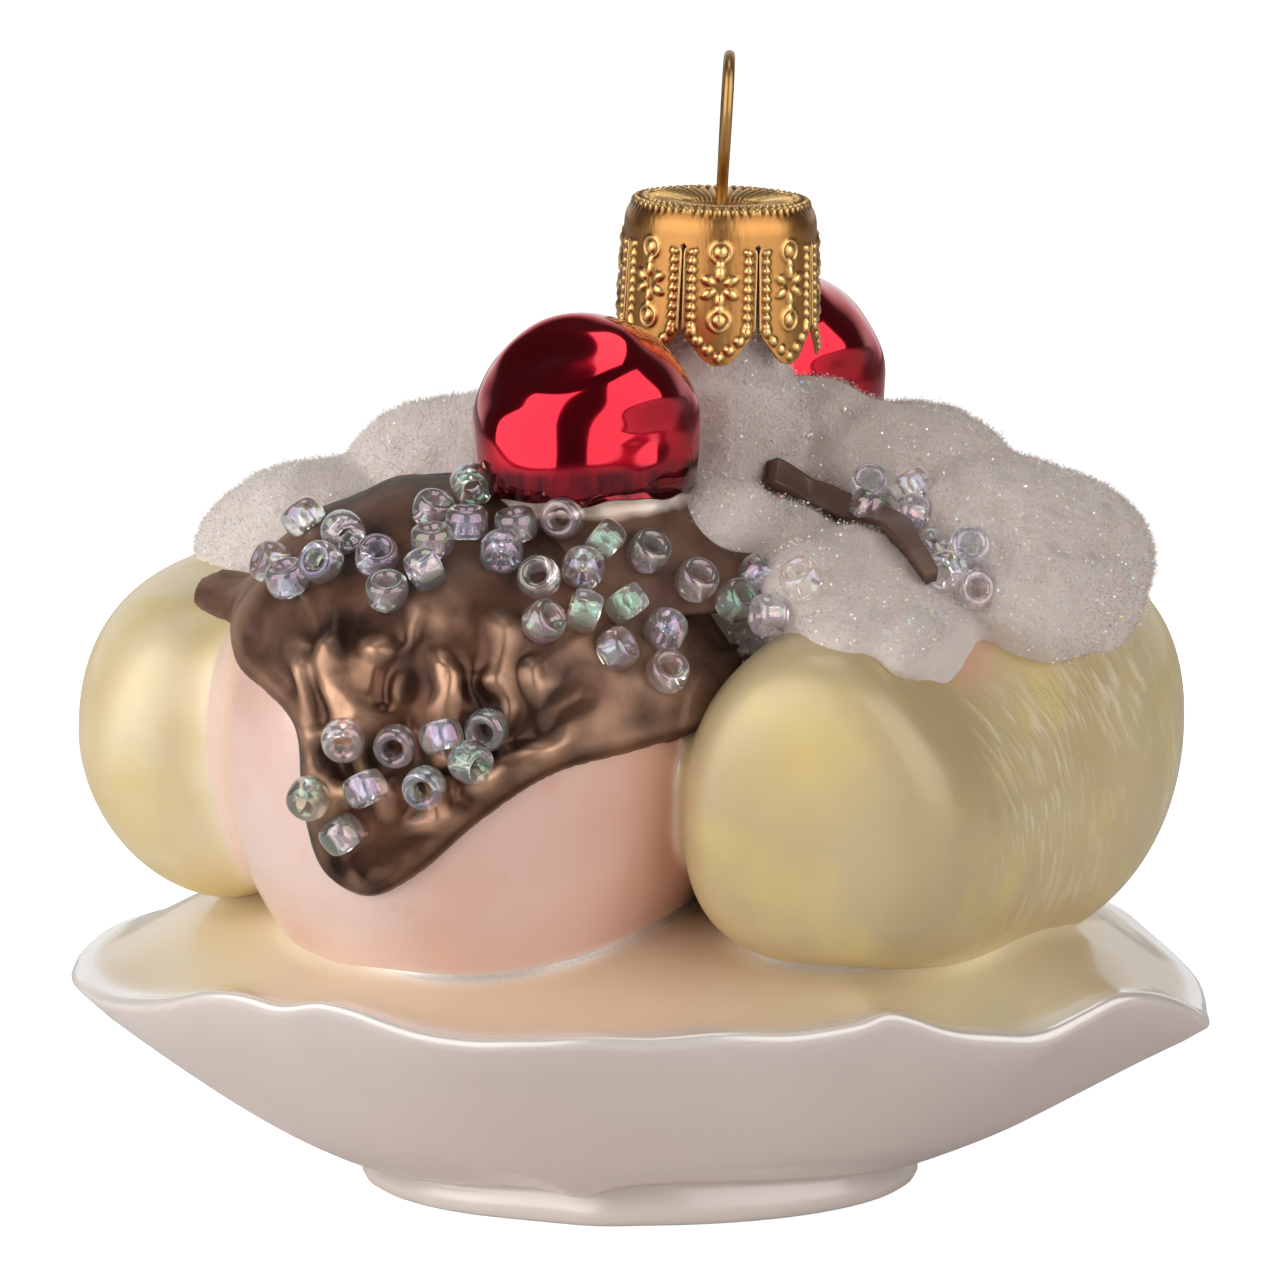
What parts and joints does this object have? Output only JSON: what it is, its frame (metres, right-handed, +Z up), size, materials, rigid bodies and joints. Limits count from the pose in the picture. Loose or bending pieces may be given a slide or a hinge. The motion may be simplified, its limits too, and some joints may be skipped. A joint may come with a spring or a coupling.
{
  "type": "banana split glass ornament",
  "caption": "Hanging glass ornament shaped like a banana split: dish, bananas, ice cream, sauce, whipped cream, cherries and glued-on beads, with a metal cap and wire loop.",
  "frame": {"origin": "middle of the foot's flat underside", "axes": "+Z up, -Y towards the front, where the scoop with the sauce and the near banana's rounded end face, +X to the right seen from the front"},
  "size_m": [0.1089, 0.0915, 0.1091],
  "materials": {
    "painted_glass": "opaque pearl lacquer on silvered blown glass",
    "sauce_lacquer": "opaque metallic brown lacquer on wrinkled glass",
    "cherry_lacquer": "clear red lacquer over silvered glass, mirror bright",
    "cream_flock": "white flock fibres with iridescent glitter",
    "bead_glass": "clear glass with an iridescent coating",
    "cap_metal": "gold coloured stamped sheet metal",
    "hanger_wire": "bright spring wire"
  },
  "bodies": {
    "root": {"glass_body": "painted_glass", "cap": "cap_metal", "hanger": "hanger_wire"}
  },
  "joints": []
}
